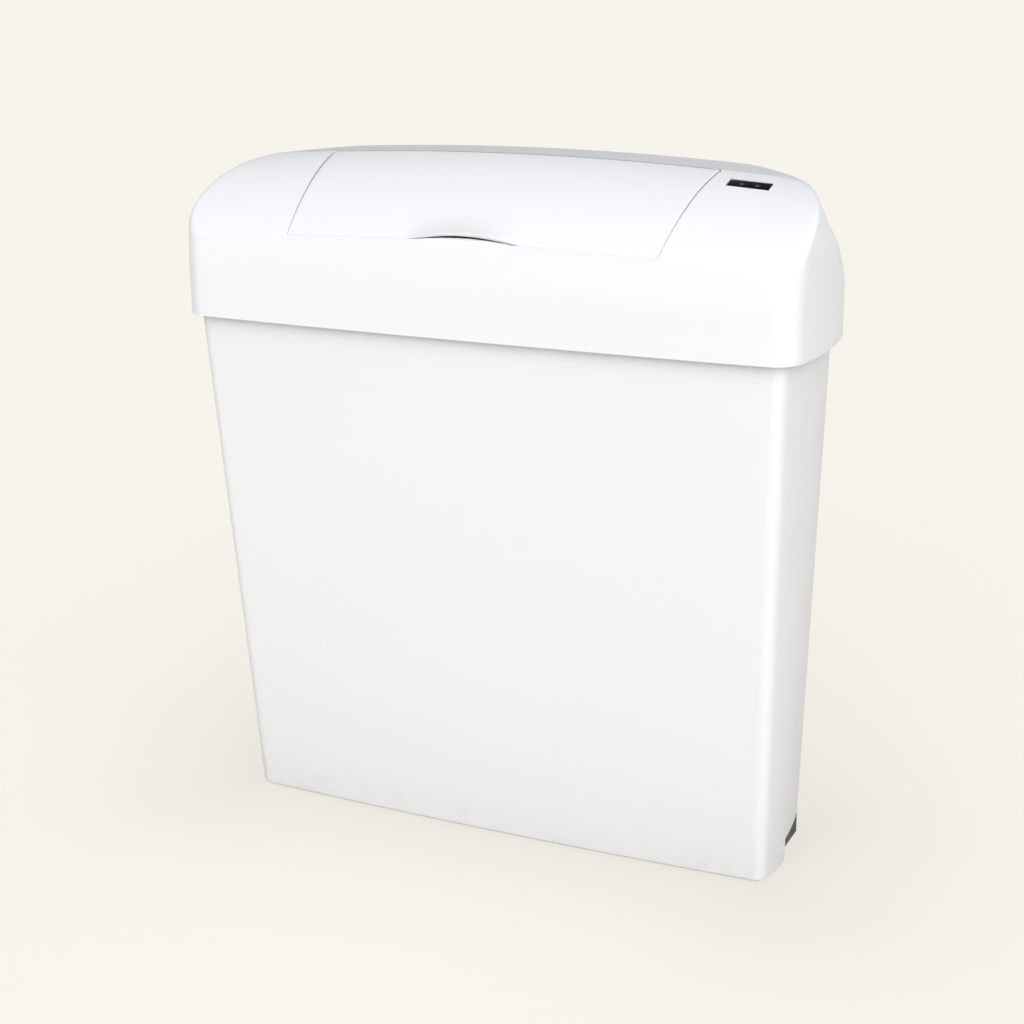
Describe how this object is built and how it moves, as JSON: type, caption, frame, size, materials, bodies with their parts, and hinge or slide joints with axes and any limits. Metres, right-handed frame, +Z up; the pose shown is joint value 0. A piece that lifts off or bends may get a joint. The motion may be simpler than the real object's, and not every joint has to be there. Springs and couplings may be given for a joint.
{
  "type": "sanitary container",
  "caption": "Free-standing powered sanitary container: slim tapered bin body, hinged hood, sensor-driven flap with a modesty tray geared to it.",
  "frame": {"origin": "on the floor, at the centre of the bounding box in plan", "axes": "+Z up, -Y towards the user in front, +X towards the end with the sensor window"},
  "size_m": [0.48, 0.135, 0.5105],
  "materials": {
    "body_shell": "fine satin moulding, slightly warm white",
    "hood_shell": "semi-gloss moulding, cool white",
    "flap_plastic": "semi-gloss moulding, cool white",
    "ring_plastic": "satin grey moulding",
    "chassis_plastic": "satin grey moulding",
    "bracket_plastic": "satin grey moulding",
    "tray_plastic": "satin grey moulding",
    "battery_plastic": "satin grey moulding",
    "gearbox_plastic": "satin dark moulding",
    "cartridge_plastic": "satin pale green moulding",
    "rubber": "matt moulded rubber",
    "sensor_gloss": "polished black infrared window",
    "lens_smoke": "smoked clear moulding",
    "circuit_board": "green board with solder mask",
    "gear_plastic": "natural acetal",
    "hinge_steel": "pressed steel strip",
    "pin_steel": "ground steel",
    "screw_steel": "zinc plated",
    "motor_steel": "zinc plated sheet",
    "contact_steel": "nickel plated spring strip",
    "cell_jacket": "shrink sleeve over a steel can",
    "switch_plastic": "black moulding",
    "switch_knob": "black moulding",
    "cable_jacket": "flexible sleeve"
  },
  "bodies": {
    "base": {"bin_body": "body_shell", "front_pad_left": "rubber", "front_pad_right": "rubber", "rear_foot_left": "rubber", "rear_foot_right": "rubber", "liner_ring": "ring_plastic", "hinge_body_leaf_left": "hinge_steel", "hinge_body_leaf_right": "hinge_steel", "hinge_pin_left": "pin_steel", "hinge_pin_right": "pin_steel"},
    "hood": {"hood_shell": "hood_shell", "hinge_hood_leaf_left": "hinge_steel", "hinge_hood_leaf_right": "hinge_steel", "chassis_plate": "chassis_plastic", "chassis_screw_1": "screw_steel", "chassis_screw_2": "screw_steel", "chassis_screw_3": "screw_steel", "chassis_screw_4": "screw_steel", "chassis_screw_5": "screw_steel", "chassis_screw_6": "screw_steel", "control_board": "circuit_board", "pivot_bracket_left": "bracket_plastic", "pivot_bracket_right": "bracket_plastic", "motor_plate": "motor_steel", "gearbox_housing": "gearbox_plastic", "motor_can": "motor_steel", "sensor_window": "sensor_gloss", "sensor_board": "circuit_board", "ir_emitter": "lens_smoke", "ir_receiver": "lens_smoke", "battery_box": "battery_plastic", "battery_cell_1": "cell_jacket", "battery_cell_2": "cell_jacket", "battery_cell_3": "cell_jacket", "battery_cell_4": "cell_jacket", "battery_contact_outer": "contact_steel", "battery_contact_inner": "contact_steel", "battery_door_pin": "pin_steel", "switch_housing": "switch_plastic", "odour_cartridge": "cartridge_plastic", "battery_cable": "cable_jacket"},
    "flap": {"flap": "flap_plastic", "flap_pin_left": "pin_steel", "flap_shaft_right": "pin_steel", "flap_sector_gear": "gear_plastic"},
    "output": {"output_shaft": "pin_steel", "drive_pinion": "gear_plastic"},
    "tray": {"modesty_tray": "tray_plastic", "tray_pin_left": "pin_steel", "tray_shaft_right": "pin_steel", "tray_sector_gear": "gear_plastic"},
    "battery_door": {"battery_door": "battery_plastic"},
    "switch": {"switch_knob": "switch_knob"}
  },
  "joints": [
    {"name": "hood_hinge", "type": "hinge", "parent": "base", "child": "hood", "pos_m": [0, 0.0625, 0.398], "axis": [-1, 0, 0], "range_deg": [0, 95]},
    {"name": "flap_hinge", "type": "hinge", "parent": "hood", "child": "flap", "pos_m": [0, 0.012, 0.492], "axis": [-1, 0, 0], "range_deg": [0, 70]},
    {"name": "output_spin", "type": "hinge", "parent": "hood", "child": "output", "pos_m": [0, 0.02595, 0.46209], "axis": [-1, 0, 0], "range_deg": [-187, 0]},
    {"name": "tray_hinge", "type": "hinge", "parent": "hood", "child": "tray", "pos_m": [0, 0.04095, 0.43611], "axis": [-1, 0, 0], "range_deg": [0, 80.5]},
    {"name": "battery_door_hinge", "type": "hinge", "parent": "hood", "child": "battery_door", "pos_m": [-0.16025, 0, 0.4041], "axis": [0, -1, 0], "range_deg": [0, 90]},
    {"name": "switch_slide", "type": "slide", "parent": "hood", "child": "switch", "axis": [1, 0, 0], "range_m": [0, 0.004]}
  ],
  "couplings": [
    {"joint": "output_spin", "follows": "flap_hinge", "ratio": -2.6667},
    {"joint": "tray_hinge", "follows": "flap_hinge", "ratio": 1.1429}
  ]
}
